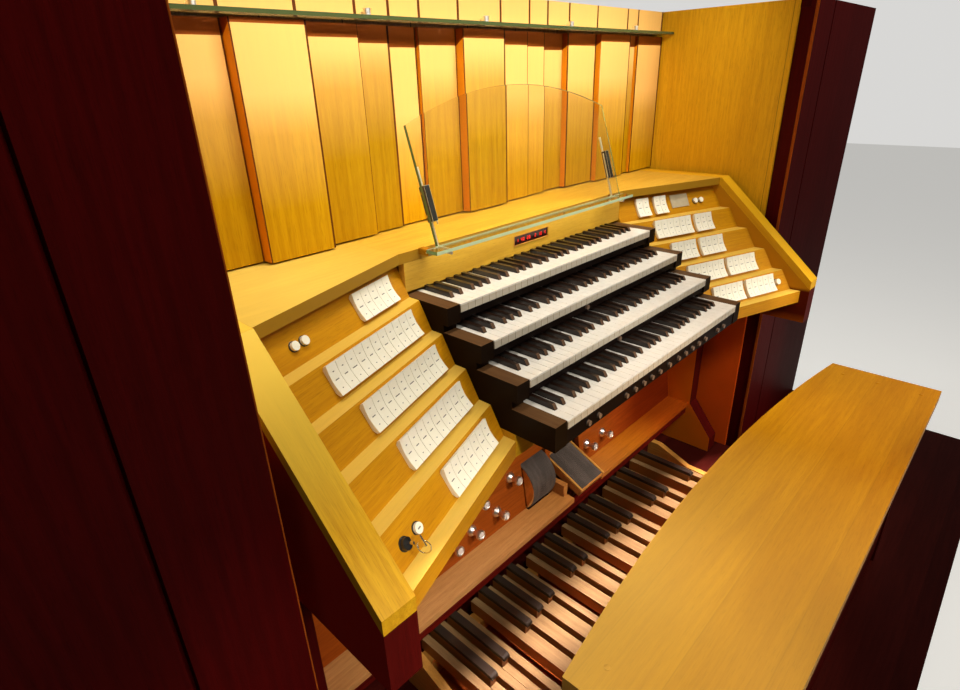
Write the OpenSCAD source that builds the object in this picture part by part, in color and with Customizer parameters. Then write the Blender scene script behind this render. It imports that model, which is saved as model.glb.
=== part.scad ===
// Organ console with four manuals, stop-tab terraces, pedalboard and bench, in its case niche.
// Millimetres, Z up. X = 0 is the middle of the manuals, Y grows away from the player.

/* [Keyboards] */
// Width of seven naturals
octave = 165; // [160:0.5:168]
// Rise from one manual to the next
manual_rise = 61; // [56:1:66]
// Set-back from one manual to the next
manual_step = 100; // [90:1:110]
// Height of the lowest naturals above the ground
manual_height = 920; // [890:1:960]
// Width of each key cheek block
key_cheek = 40; // [30:1:50]
// Height of the sharps above the naturals
sharp_height = 12; // [9:0.5:14]

/* [Stop terraces] */
// Turn of the terraces towards the player
terrace_angle = 19.2; // [12:0.2:24]
// Rise of one terrace row
row_rise = 64.5; // [58:0.5:70]
// Set-back of one terrace row
row_step = 72; // [64:1:80]
// Depth of each tread
tread = 34; // [26:1:40]
// Width of one stop tab with its gap
tab_pitch = 27.3; // [25:0.1:27.5]

/* [Body] */
// Half width between the side walls
inner_half = 903; // [885:1:925]
// Thickness of the side walls
wall = 62; // [52:1:70]
// Thickness of the top shelf
shelf_thick = 25; // [18:1:30]
// Height of the shelf over the highest naturals
shelf_over = 77; // [72:1:90]

/* [Toe area] */
// Height of the toe shelf above the platform
toe_height = 200; // [180:1:230]
// Depth of the toe shelf
toe_depth = 90; // [70:1:105]
// Lean of the knee panel from upright
knee_lean = 8; // [4:0.5:12]
// Radius of the crescendo drum
drum_r = 95; // [80:1:105]
// Width of the swell shoe
shoe_wide = 140; // [110:1:150]

/* [Pedalboard] */
// Distance between neighbouring natural pedals
pedal_pitch = 65; // [60:0.5:66]
// Rise of the outermost pedals over the middle ones
pedal_rise = 40; // [20:1:50]
// Height of the middle natural pedals above the platform
pedal_height = 62; // [55:1:75]

/* [Bench] */
// Overhang of the bench top beyond its ends
bench_over = 45; // [20:1:80]
// Depth of the bench top at its ends
bench_deep = 290; // [260:1:340]
// Height of the bench top above the platform
bench_height = 620; // [560:1:660]

/* [Case] */
// Height of the case
case_height = 1760; // [1700:5:1900]
// Half width of the case front
case_half = 1700; // [1500:5:1900]
// Height of the platform
platform = 60; // [40:1:90]

/* [Hidden] */

seat = 0.3;
half_deep = 685;
back_thick = 20;
back_gap = 45;
side_gap = 33;
key = octave / 7;
naturals = 36;
keys_half = naturals * key / 2;
body_in = keys_half + key_cheek;
key_gap = 1;
key_thick = 20;
key_long = 150;
sharp_wide = 10;
sharp_long = 92;
sharp_front = 46;
bed_thick = 10;
manuals = 4;
top_z = manual_height + (manuals - 1) * manual_rise;
back_y = (manuals - 1) * manual_step;
shelf_z = top_z + shelf_over;
rail_y = back_y + key_long - 10;
rail_z = top_z + sharp_height - 5 + 1;
rail_thick = 20;
ta = tan(terrace_angle);
rows = 5;
row_x = body_in + seat;
row_long = (inner_half - row_x) / cos(terrace_angle);
row_front = 107;
row_z = manual_height - 76;
apron = 42;
under_z = row_z - apron;
slope = row_rise / row_step;
face_lean = atan((row_step - tread) * cos(terrace_angle) / row_rise);
case_back_y = half_deep - back_thick;
console_back = case_back_y - back_gap;
terrace_back = console_back - 60;
side_front = -75;
side_low_z = under_z - 72;
side_low_front = 290;
foot_front = 185;
foot_low = platform + 65;
foot_high = platform + 200;
cap_thick = 22;
cap_raise = 64;
glass = 8;
oak = [0.85, 0.66, 0.36];
orange_oak = [0.76, 0.5, 0.24];
mahogany = [0.3, 0.12, 0.1];
ebony = [0.12, 0.09, 0.07];
ivory = [0.95, 0.93, 0.86];
steel = [0.75, 0.75, 0.76];
clear = [0.8, 0.92, 0.88];
brass = [0.8, 0.65, 0.3];
rubber = [0.18, 0.18, 0.17];

function manual_y(n) = (n - 1) * manual_step;
function manual_z(n) = manual_height + (n - 1) * manual_rise;
function has_sharp(i) = let (k = i % 7) k == 0 || k == 1 || k == 3 || k == 4 || k == 5;
function sharp_shift(i) = [-3, 3, 0, -3.5, 0, 3.5, 0][i % 7];
function row_top(n) = row_z + (rows - n) * row_rise;
function row_y(n) = row_front + (rows - n) * row_step;
function cap_z(y) = row_z + cap_raise + (y - row_front + (inner_half - row_x) * ta) * slope;

// a box from one corner to the opposite one
module block(a, b) {
  translate(a) cube([b[0] - a[0], b[1] - a[1], b[2] - a[2]]);
}

// the same piece on both sides of the middle
module both() {
  children();
  mirror([1, 0, 0]) children();
}

// Platform and case
niche_half = inner_half + wall + side_gap;
post_in = niche_half + 7;
post_out = post_in + 160;
front_y = 93;
board = 25;
niche_front = 150;
niche_thick = 22;
return_deep = 150;

module platform_deck() {
  color(mahogany) block([-case_half, -half_deep, 0], [case_half, front_y - seat, platform]);
}

module niche_floor() {
  color(orange_oak) {
    block([-niche_half + seat, front_y, 0], [niche_half - seat, case_back_y - seat, platform]);
    block([-post_in + seat, front_y, 0], [post_in - seat, niche_front - seat, platform]);
  }
}

post_gap = 8;

module case_fronts() {
  jamb_top = case_height - board - seat;
  color(mahogany) both() {
    block([post_in, front_y, 0], [post_out, front_y + board, case_height]);
    block([post_in, front_y + board / 2, 0], [post_in + board, niche_front - seat, jamb_top]);
    block([niche_half + niche_thick + seat, front_y + board / 2, 0],
      [post_in + board, niche_front + return_deep, jamb_top]);
    block([post_out + post_gap, front_y, 0], [case_half, front_y + board, case_height]);
  }
}

module case_ends() {
  color(mahogany) both() {
    block([case_half - board, front_y + board + seat, 0],
      [case_half, case_back_y - seat, case_height - board - seat]);
    block([post_in, front_y + board + seat, case_height - board],
      [case_half, niche_front - seat, case_height]);
    block([niche_half + niche_thick + seat, niche_front - 1, case_height - board],
      [case_half, case_back_y - seat, case_height]);
  }
}

module case_back() {
  color(orange_oak) block([-case_half, case_back_y, 0], [case_half, half_deep, case_height]);
}

module niche_sides() {
  color(oak) both()
  block([niche_half, niche_front, 0], [niche_half + niche_thick, case_back_y - seat, case_height]);
}

// boards of the rear wall, each with its own width and its own depth
wall_widths = [148, 145, 165, 145, 98, 92, 131, 166, 122, 86, 106, 162, 186, 65, 179];
wall_depths = [35, 44, 74, 46, 32, 21, 29, 54, 35, 30, 18, 37, 55, 35, 45];
wall_low = 5;
head_high = 82;
wall_top = case_height - head_high;
function before(v, n) = n == 0 ? 0 : v[n - 1] + before(v, n - 1);
wall_scale = (2 * niche_half - 4) / before(wall_widths, len(wall_widths));

glass_z = wall_top + 6;
glass_front = case_back_y - 90;
head_deep = 40;

module wall_boards() {
  color(oak) {
    for (i = [0 : len(wall_widths) - 1])
    block([-niche_half + 2 + before(wall_widths, i) * wall_scale, case_back_y - seat - wall_depths[i],
      shelf_z + shelf_thick + wall_low],
      [-niche_half + 1 + before(wall_widths, i + 1) * wall_scale, case_back_y - seat, wall_top]);
    block([-niche_half + 1, case_back_y - seat - head_deep, glass_z + glass + seat],
      [niche_half - 1, case_back_y - seat, case_height]);
  }
}

module glass_shelf() {
  color(clear)
  block([-niche_half + seat, glass_front, glass_z],
    [niche_half - seat, case_back_y - seat, glass_z + glass]);
}

bracket_in = 238;
brackets = 5;

module shelf_brackets() {
  last_x = niche_half - bracket_in;
  color(steel) for (i = [0 : brackets - 1])
  translate([-last_x + 2 * last_x * i / (brackets - 1), glass_front + 22, glass_z + glass + seat]) {
    cylinder(d = 16, h = 14, $fn = 32);
    translate([-5, -5, 0]) cube([10, 22, 8]);
  }
}

// Top shelf, rail and window
shelf_back = case_back_y - seat;

// a straight middle board and two angled wings
module top_shelf() {
  turn_x = body_in + 14;
  end_x = inner_half - seat;
  color(oak) translate([0, 0, shelf_z + seat]) linear_extrude(shelf_thick - seat) {
    polygon([[-turn_x, rail_y], [turn_x, rail_y], [turn_x, shelf_back], [-turn_x, shelf_back]]);
    both() polygon([[turn_x + seat, rail_y], [end_x, rail_y - (end_x - turn_x) * ta],
      [end_x, shelf_back], [turn_x + seat, shelf_back]]);
  }
}

window_wide = 150;
window_high = 25;
module music_rail() {
  color(oak) difference() {
    block([-body_in, rail_y, rail_z], [body_in, rail_y + rail_thick, shelf_z]);
    block([-window_wide / 2 - seat, rail_y - 1, rail_z + 26 - seat],
      [window_wide / 2 + seat, rail_y + 10, rail_z + 26 + window_high + seat]);
  }
}

module digit_window() {
  color(ebony)
  block([-window_wide / 2, rail_y + 2, rail_z + 26],
    [window_wide / 2, rail_y + 10 - seat, rail_z + 26 + window_high]);
}

// Stop terraces
function stair(n) = n > rows ? [] :
  concat([[row_y(rows + 1 - n), row_top(rows + 1 - n)], [row_y(rows + 1 - n) + tread, row_top(rows + 1 - n)]],
    stair(n + 1));

module terrace() {
  spare = 400;
  top_y = row_y(1) + tread + (shelf_z - row_top(1)) / row_rise * (row_step - tread);
  profile = concat([[row_front, under_z]], stair(1), [[top_y, shelf_z], [terrace_back + spare, shelf_z],
    [terrace_back + spare, under_z]]);
  intersection() {
    block([row_x, row_front - spare, under_z], [inner_half - seat, terrace_back, shelf_z]);
    translate([row_x, 0, 0]) rotate([0, 0, -terrace_angle]) translate([-spare, 0, 0])
    rotate([90, 0, 90]) linear_extrude(row_long + 2 * spare)
    polygon([for (p = profile) [p[0] * cos(terrace_angle), p[1]]]);
  }
}

module terrace_left() { color(oak) mirror([1, 0, 0]) terrace(); }

module terrace_right() { color(oak) terrace(); }

// the sloping cap turns level here, flush with the top shelf
cap_top = shelf_z + shelf_thick;
meet_y = side_front + (cap_top - cap_z(side_front)) / slope;
cap_drop = cap_thick / cos(atan(slope));
turn_low = meet_y + (cap_drop - cap_thick) / slope;

// side wall: deep box above, set back below, with a foot
module side_wall() {
  translate([inner_half, 0, 0]) rotate([90, 0, 90]) linear_extrude(wall)
  polygon([[side_front, side_low_z], [side_front, cap_z(side_front) - cap_drop],
    [turn_low, cap_top - cap_thick], [console_back, cap_top - cap_thick], [console_back, platform],
    [foot_front, platform], [foot_front, foot_low], [side_low_front, foot_high],
    [side_low_front, side_low_z]]);
}

module side_walls() { color(mahogany) both() side_wall(); }

module cheek_caps() {
  color(oak) both() translate([inner_half, 0, seat]) rotate([90, 0, 90]) linear_extrude(wall) {
    polygon([[side_front, cap_z(side_front) - cap_drop], [side_front, cap_z(side_front) - seat],
      [meet_y, cap_top - seat], [turn_low, cap_top - cap_thick]]);
    polygon([[turn_low + seat, cap_top - cap_thick], [meet_y + seat, cap_top - seat],
      [shelf_back, cap_top - seat], [shelf_back, cap_top - cap_thick]]);
  }
}

// a place on the leaning face of row n: along the row, up the face, out from it
module on_face(n, along, up) {
  translate([row_x, row_y(n) + tread, row_top(n)])
  rotate([0, 0, -terrace_angle]) rotate([-face_lean, 0, 0]) translate([along, 0, up]) children();
}

tab_high = 62;
tab_foot = 7;
function tab_front(s) = -13 + 5 * sin(180 * s / tab_high);

module tab() {
  steps = 4;
  rotate([90, 0, 90]) linear_extrude(tab_pitch - 1.2)
  polygon(concat([[-seat, 8], [-seat, tab_high - 6], [-6, tab_high]],
    [for (i = [steps : -1 : 0]) [tab_front(i * tab_high / steps), i * tab_high / steps]], [[-6, 0]]));
}

module tab_row(n, start, count) {
  for (i = [0 : count - 1]) on_face(n, start * row_long + i * tab_pitch, tab_foot) tab();
}

// row, start as a share of the row's length, number of tabs
left_groups = [[1, 0.103, 5], [2, 0.101, 11], [3, 0.101, 10], [4, 0.101, 9], [5, 0.099, 7]];
knob_group = [5, 0.542, 5];
right_groups = [[1, 0.166, 2], [1, 0.333, 2], [2, 0.177, 6], [2, 0.566, 3], [3, 0.168, 4],
  [3, 0.441, 4], [4, 0.151, 6], [4, 0.534, 5], [5, 0.215, 5], knob_group];

module tabs_left() {
  color(ivory) mirror([1, 0, 0]) for (g = left_groups) tab_row(g[0], g[1], g[2]);
}

module tabs_right() { color(ivory) for (g = right_groups) tab_row(g[0], g[1], g[2]); }

module button(d, out) {
  rotate([90, 0, 0]) translate([0, 0, seat]) cylinder(d = d, h = out, $fn = 32);
}

module round_buttons() {
  color(ivory) {
    both() for (share = [0.747, 0.805]) on_face(1, share * row_long, 36) button(18, 8);
    mirror([1, 0, 0]) on_face(5, 0.762 * row_long, lock_up) button(20, 7);
    on_face(5, knob_group[1] * row_long + knob_group[2] * tab_pitch + 16, 36) button(20, 12);
  }
}

plaque = [80, 2, 46];
module stop_plaque() {
  color(steel) on_face(1, 0.508 * row_long, 22) translate([0, -plaque[1] - seat, 0]) cube(plaque);
}

lock_share = 0.848;
lock_up = 32;
lock_floor = 3;
key_d = 7;
pin_clear = 0.1;

module on_lock() {
  mirror([1, 0, 0]) on_face(5, lock_share * row_long, lock_up) rotate([90, 0, 0]) translate([0, 0, seat])
  children();
}

module lock_barrel() {
  color(steel) on_lock() difference() {
    cylinder(d = 22, h = 9, $fn = 32);
    translate([0, 0, lock_floor]) cylinder(d = key_d + 2 * pin_clear, h = 9, $fn = 32);
  }
}

module lock_key() {
  color(steel) on_lock() translate([0, 0, lock_floor + seat]) {
    cylinder(d = key_d, h = 20, $fn = 32);
    translate([-1.5, -11, 18]) cube([3, 22, 22]);
  }
}

// Manuals
module naturals_of(n) {
  color(ivory) difference() {
    for (i = [0 : naturals - 1])
    translate([-keys_half + i * key + key_gap / 2, manual_y(n), manual_z(n) - key_thick])
    cube([key - key_gap, key_long, key_thick]);
    for (i = [0 : naturals - 2]) if (has_sharp(i))
    translate([-keys_half + (i + 1) * key + sharp_shift(i) - sharp_wide / 2 - 1,
      manual_y(n) + sharp_front - 1, manual_z(n) - key_thick - 1])
    cube([sharp_wide + 2, key_long, key_thick + 2]);
  }
}

module sharps_of(n) {
  color(ebony) for (i = [0 : naturals - 2]) if (has_sharp(i))
  translate([-keys_half + (i + 1) * key + sharp_shift(i) - sharp_wide / 2,
    manual_y(n) + sharp_front, manual_z(n)])
  rotate([90, 0, 90]) linear_extrude(sharp_wide)
  polygon([[0, -key_thick], [0, 1], [6, sharp_height - 1], [8, sharp_height], [sharp_long, sharp_height],
    [sharp_long, -key_thick]]);
}

module naturals_one() naturals_of(1);
module naturals_two() naturals_of(2);
module naturals_three() naturals_of(3);
module naturals_four() naturals_of(4);
module sharps_one() sharps_of(1);
module sharps_two() sharps_of(2);
module sharps_three() sharps_of(3);
module sharps_four() sharps_of(4);

slip_low = 60;
slip_front = 4;
slip_thick = 12;
function cheek_stair(n) = n > manuals ? [] :
  concat([[manual_y(n) + 2, manual_z(n) - manual_rise + 18], [manual_y(n) + 2, manual_z(n)],
    [manual_y(n) + manual_step + 2 + (n < manuals ? 16 : 46), manual_z(n)]],
    n < manuals ? [[manual_y(n + 1) + 18, manual_z(n) + 18]] : [], cheek_stair(n + 1));

module key_cheeks() {
  low = manual_height - slip_low + seat;
  color(ebony) both() translate([keys_half + seat, 0, 0]) rotate([90, 0, 90])
  linear_extrude(key_cheek - 2 * seat) polygon(concat([[2, low]], cheek_stair(1), [[rail_y + 1, low]]));
}

bed_low = key_thick + seat + bed_thick;
module key_beds() {
  color(ebony) {
    block([-keys_half, slip_front, manual_height - slip_low + seat],
      [keys_half, slip_front + slip_thick - seat, manual_height - key_thick - 1]);
    for (n = [2 : manuals])
    block([-keys_half, manual_y(n) + 8, manual_z(n) - key_thick - 22],
      [keys_half, manual_y(n) + slip_front + slip_thick - seat, manual_z(n) - key_thick - 1]);
    for (n = [1 : manuals])
    block([-keys_half, manual_y(n) + slip_front + slip_thick, manual_z(n) - bed_low],
      [keys_half, manual_y(n) + key_long, manual_z(n) - key_thick - seat]);
  }
}

piston_x = [-345, -305, -190, -150, -110, -70, -30, 20, 70, 110, 150, 190, 230, 310, 350];
piston_d = 12;
piston_out = 7;
piston_down = 42;

module slip_pistons() {
  color(ivory) rotate([90, 0, 0]) {
    for (x = piston_x) translate([x, manual_height - piston_down, seat - slip_front])
    cylinder(d = piston_d, h = piston_out, $fn = 24);
    for (n = [2, 3]) translate([-60, manual_z(n) - key_thick - 11, seat - manual_y(n) - 8])
    cylinder(d = piston_d, h = piston_out, $fn = 24);
  }
}

module keybed_board() {
  bed_front = slip_front + slip_thick;
  color(oak) {
    block([-body_in, row_front, under_z], [body_in, rail_y + rail_thick, manual_height - slip_low]);
    block([-keys_half, bed_front, manual_height - slip_low + seat],
      [keys_half, rail_y - seat, manual_height - bed_low - seat]);
  }
}

// Knee space
toe_z = platform + toe_height;
toe_front = 300;
toe_back = toe_front + toe_depth;
toe_thick = 18;
panel_thick = 20;
drum_x = -18;
drum_wide = 115;
drum_y = toe_back + 65;
drum_z = toe_z + 65;
shoe_x = 150;
shoe_gap = 14;
shoe_tilt = 25;
shoe_long = 170;
pivot_y = 360;
pivot_z = toe_z - 42;
slot_side = 6;
axle = 16;
shoe_pin = 14;
block_wide = 20;

module on_panel(x, up) {
  translate([x, toe_back, toe_z]) rotate([-knee_lean, 0, 0]) translate([0, 0, up]) children();
}

module drum_slot(y0, z0, z1) {
  block([drum_x - drum_wide / 2 - slot_side, y0, z0], [drum_x + drum_wide / 2 + slot_side, console_back, z1]);
}

module shoe_slot(y0, z0, z1) {
  block([shoe_x - shoe_wide / 2 - shoe_gap, y0, z0], [shoe_x + shoe_wide / 2 + shoe_gap, console_back, z1]);
}

module knee_panel() {
  color(orange_oak) difference() {
    intersection() {
      on_panel(0, 0) block([-inner_half + seat, 0, -toe_height / 2],
        [inner_half - seat, panel_thick, manual_height]);
      block([-inner_half, 0, toe_z + seat], [inner_half, console_back, under_z - seat]);
    }
    drum_slot(0, platform, drum_z + drum_r + slot_side);
    shoe_slot(0, platform, toe_z + shoe_long * sin(shoe_tilt) + 60);
  }
}

guide_in = 30;
guide_high = 45;

// the shelf, with a guide block between roller and shoe
module toe_shelf() {
  color(oak) difference() {
    union() {
      block([-inner_half + seat, toe_front, toe_z - toe_thick], [inner_half - seat, toe_back + 45, toe_z]);
      block([drum_x, toe_front + guide_in, toe_z - 1], [shoe_x, toe_back - 2, toe_z + guide_high]);
    }
    shoe_slot(0, platform, shelf_z);
    drum_slot(toe_back - 12, platform, toe_z + 1);
    drum_slot(0, toe_z, shelf_z);
  }
}

module kick_board() {
  color(mahogany)
  block([-inner_half + seat, toe_front + 4, toe_z - toe_thick - 32],
    [inner_half - seat, toe_front + 22, toe_z - toe_thick - seat]);
}

// a domed collar, a neck and a flat head
module stud() {
  rotate([90, 0, 0]) translate([0, 0, seat]) rotate_extrude($fn = 40)
  polygon([[0, 0], [18, 0], [17, 5], [13, 10], [8, 14], [8, 31], [11.5, 33], [11.5, 43], [0, 43]]);
}

// across and up the panel
stud_low = 68;
stud_high = 150;
studs = [[-415, stud_low], [-328, stud_low], [-216, stud_low], [275, stud_low], [378, stud_low],
  [-290, stud_high], [-139, stud_high]];

module toe_studs() {
  color(steel) for (p = studs) on_panel(p[0], p[1]) stud();
}

module drum_blocks() {
  low = drum_z - toe_z - 40;
  difference() {
    for (s = [-1, 1]) on_panel(drum_x + s * (drum_wide / 2 + block_wide) - block_wide / 2, low)
    block([0, panel_thick + seat, 0], [block_wide, drum_r, 80]);
    translate([drum_x, drum_y, drum_z]) rotate([0, 90, 0])
    cylinder(d = axle + 2 * pin_clear, h = 2 * drum_wide, center = true, $fn = 48);
  }
}

module shoe_blocks() {
  difference() {
    for (s = [-1, 1]) translate([shoe_x + s * (shoe_wide / 2 + shoe_gap + 12) - block_wide / 2, 0, 0])
    block([0, pivot_y - 22, pivot_z - 20], [block_wide, pivot_y + 22, toe_z - toe_thick - seat]);
    translate([shoe_x, pivot_y, pivot_z]) rotate([0, 90, 0])
    cylinder(d = shoe_pin + 2 * pin_clear, h = 2 * shoe_wide, center = true, $fn = 48);
  }
}

module pivot_blocks() {
  color(mahogany) {
    drum_blocks();
    shoe_blocks();
  }
}

module crescendo_drum() {
  translate([drum_x, drum_y, drum_z]) rotate([0, 90, 0]) {
    color(rubber) cylinder(r = drum_r, h = drum_wide, center = true, $fn = 96);
    color(steel) cylinder(d = axle, h = drum_wide + 3 * block_wide, center = true, $fn = 48);
  }
}

shoe_thick = 24;
module swell_shoe() {
  color(orange_oak) {
    translate([shoe_x - shoe_wide / 2, toe_front - shoe_gap - 3, toe_z + 25]) rotate([shoe_tilt, 0, 0])
    translate([0, 0, -shoe_thick]) cube([shoe_wide, shoe_long, shoe_thick]);
    block([shoe_x - 25, pivot_y - 14, pivot_z - 14], [shoe_x + 25, pivot_y + 14, toe_z + 50]);
    translate([shoe_x, pivot_y, pivot_z]) rotate([0, 90, 0])
    cylinder(d = shoe_pin, h = shoe_wide + 2 * shoe_gap + 2 * block_wide, center = true, $fn = 48);
  }
}

// Music desk, hinged in front of the shelf
desk_x = -10;
desk_lean = 17.5;
desk_half = 390;
pivot_out = 28;
pivot_down = 5;
rod_x = 372;
rod_d = 7;
rod_long = 190;
arm_d = 8;
desk_pin = 4.4;
glass_back = 16;
clamp_z = 105;
clamp_long = 82;
bracket_x = rod_x + 20;
bracket_wide = 16;
bracket_high = 14;

module at_pivot() {
  translate([desk_x, rail_y - pivot_out, shelf_z + shelf_thick - pivot_down]) children();
}

module on_desk() {
  at_pivot() rotate([-desk_lean, 0, 0]) children();
}

module desk_pivots() {
  color(brass) at_pivot() both() difference() {
    block([bracket_x, -bracket_high / 2, -bracket_high / 2],
      [bracket_x + bracket_wide, pivot_out - seat, bracket_high / 2]);
    translate([bracket_x - 1, 0, 0]) rotate([0, 90, 0])
    cylinder(d = desk_pin + 2 * pin_clear, h = bracket_wide + 2, $fn = 32);
  }
}

module desk_rods() {
  color(steel) {
    on_desk() both() {
      translate([rod_x, 0, 0]) cylinder(d = rod_d, h = rod_long, $fn = 32);
      translate([rod_x, -glass_back / 2, clamp_z]) cube([glass_back, glass_back, clamp_long], center = true);
    }
    at_pivot() both() {
      translate([rod_x, rod_d / 2, 0]) rotate([90, 0, 0])
      cylinder(d = arm_d, h = ledge_in + ledge_deep, $fn = 32);
      translate([rod_x, 0, 0]) rotate([0, 90, 0])
      cylinder(d = desk_pin, h = bracket_x + bracket_wide - rod_x, $fn = 32);
    }
  }
}

ledge_in = 14;
ledge_deep = 36;
ledge_side = 30;

module desk_glass() {
  corner = 270;
  rise = 74;
  n = 16;
  color(clear) {
    on_desk() translate([0, -glass_back - seat, glass + seat]) rotate([90, 0, 0]) linear_extrude(glass)
    polygon(concat([[-desk_half, 0], [desk_half, 0]],
      [for (i = [0 : n]) let (x = desk_half - 2 * desk_half * i / n)
        [x, corner + rise * (1 - pow(x / desk_half, 2))]]));
    at_pivot() block([-desk_half - ledge_side, -ledge_in - ledge_deep, arm_d / 2 + seat],
      [desk_half + ledge_side, -ledge_in, arm_d / 2 + seat + glass]);
  }
}

// Pedalboard
pedal_wide = 22;
pedal_deep = 40;
pedals = 19;
pedal_back = 340;
pedal_heel = -360;
cap_up = 28;
cap_deep = 12;
cheek_board = 23;
pedal_out = (pedals + 1) * pedal_pitch / 2 - 14;
pedal_half = (pedals - 1) * pedal_pitch / 2;
function pedal_x(k) = (k - (pedals - 1) / 2) * pedal_pitch;
function pedal_up(x) = pedal_rise * pow(x / pedal_half, 2);
function pedal_z(x) = platform + pedal_height + pedal_up(x);

module pedal_naturals() {
  color(oak) for (k = [0 : pedals - 1])
  translate([pedal_x(k) - pedal_wide / 2, pedal_heel, pedal_z(pedal_x(k)) - pedal_deep])
  cube([pedal_wide, pedal_back - pedal_heel, pedal_deep]);
}

function sharp_end(x) = 180 - 86 * pow(x / pedal_half, 2);

module pedal_sharps() {
  color(orange_oak) for (k = [0 : pedals - 2]) if (has_sharp(k))
  let (x = pedal_x(k + 0.5))
  translate([x - pedal_wide / 2, 0, pedal_z(x)]) {
    block([0, pedal_heel, -pedal_deep], [pedal_wide, pedal_back, -14]);
    block([0, sharp_end(x) + 8, -14 + seat], [pedal_wide, pedal_back, cap_up - cap_deep]);
  }
}

module pedal_caps() {
  color(ebony) for (k = [0 : pedals - 2]) if (has_sharp(k))
  let (x = pedal_x(k + 0.5))
  translate([x - pedal_wide / 2, sharp_end(x), pedal_z(x) + cap_up - cap_deep + seat])
  rotate([90, 0, 90]) linear_extrude(pedal_wide)
  polygon([[0, 0], [0, cap_deep * 0.4], [3, cap_deep * 0.75], [9, cap_deep],
    [pedal_back - sharp_end(x), cap_deep], [pedal_back - sharp_end(x), 0]]);
}

// the frame's steps follow the pedals
module rail_at(y0, y1) {
  half = pedal_out - 1;
  last = 2 * (pedals - 1);
  translate([0, y1, 0]) rotate([90, 0, 0]) linear_extrude(y1 - y0)
  polygon(concat([[half, platform], [-half, platform]],
    [for (j = [0 : last]) let (x = pedal_x(j / 2), z = pedal_z(x) - pedal_deep - seat)
      each [[j == 0 ? -half : x - pedal_pitch / 4, z], [j == last ? half : x + pedal_pitch / 4, z]]]));
}

rail_in = 10;
rail_wide = 40;
wedge_long = 180;
wedge_flat = 55;

module pedal_frame() {
  heel_z = platform + pedal_height;
  toe_high = heel_z + pedal_rise + 26;
  color(oak) {
    rail_at(pedal_heel + rail_in, pedal_heel + rail_in + rail_wide);
    rail_at(pedal_back - rail_in - rail_wide, pedal_back - rail_in);
    both() translate([pedal_out - 1, 0, 0]) rotate([90, 0, 90]) linear_extrude(cheek_board)
    polygon([[pedal_heel, platform], [pedal_heel, heel_z], [pedal_back - wedge_long, heel_z + 16],
      [pedal_back - wedge_flat, toe_high], [pedal_back - rail_in, toe_high], [pedal_back - rail_in, platform]]);
  }
}

// Bench
bench_back_y = -515;
bench_thick = 36;
bench_bow = 58;
bench_z = platform + bench_height;
end_in = pedal_out - 1 + cheek_board + 3;
end_wide = 35;
bench_half = end_in + end_wide + bench_over;

module bench_top() {
  n = 24;
  front = bench_back_y + bench_deep;
  color(oak) translate([0, 0, bench_z - bench_thick]) linear_extrude(bench_thick)
  polygon(concat([[bench_half, bench_back_y], [bench_half, front]],
    [for (i = [1 : n - 1]) let (x = bench_half - 2 * bench_half * i / n)
      [x, front + bench_bow * (1 - pow(x / bench_half, 2))]],
    [[-bench_half, front], [-bench_half, bench_back_y]]));
}

module bench_frame() {
  top = bench_z - bench_thick - seat;
  color(mahogany) {
    both() block([end_in, bench_back_y + 25, platform],
      [end_in + end_wide, bench_back_y + bench_deep - 15, top]);
    block([-end_in - 1, bench_back_y + 30, platform + 40], [end_in + 1, bench_back_y + 50, top]);
  }
}

platform_deck();
niche_floor();
case_fronts();
case_ends();
case_back();
niche_sides();
wall_boards();
glass_shelf();
shelf_brackets();
top_shelf();
music_rail();
digit_window();
terrace_left();
terrace_right();
side_walls();
cheek_caps();
tabs_left();
tabs_right();
round_buttons();
stop_plaque();
lock_barrel();
lock_key();
naturals_one();
naturals_two();
naturals_three();
naturals_four();
sharps_one();
sharps_two();
sharps_three();
sharps_four();
key_cheeks();
key_beds();
slip_pistons();
keybed_board();
knee_panel();
toe_shelf();
kick_board();
toe_studs();
pivot_blocks();
crescendo_drum();
swell_shoe();
desk_pivots();
desk_rods();
desk_glass();
pedal_frame();
pedal_naturals();
pedal_sharps();
pedal_caps();
bench_top();
bench_frame();
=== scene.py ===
import bpy
import bmesh
import math
import random
from mathutils import Matrix, Vector


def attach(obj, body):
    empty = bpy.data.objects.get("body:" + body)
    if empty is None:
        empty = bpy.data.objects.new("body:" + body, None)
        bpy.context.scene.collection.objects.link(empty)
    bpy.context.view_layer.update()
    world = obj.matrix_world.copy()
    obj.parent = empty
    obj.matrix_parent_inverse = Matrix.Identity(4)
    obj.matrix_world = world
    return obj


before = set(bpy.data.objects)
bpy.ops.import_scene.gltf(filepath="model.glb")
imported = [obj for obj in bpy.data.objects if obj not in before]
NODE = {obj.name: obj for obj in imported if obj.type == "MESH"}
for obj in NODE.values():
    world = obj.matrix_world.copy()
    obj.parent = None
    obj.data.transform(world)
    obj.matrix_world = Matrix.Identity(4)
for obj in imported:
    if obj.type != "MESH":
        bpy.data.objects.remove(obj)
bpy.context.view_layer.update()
HOME = "console"

# Sizes of the CAD model, in metres

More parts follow.
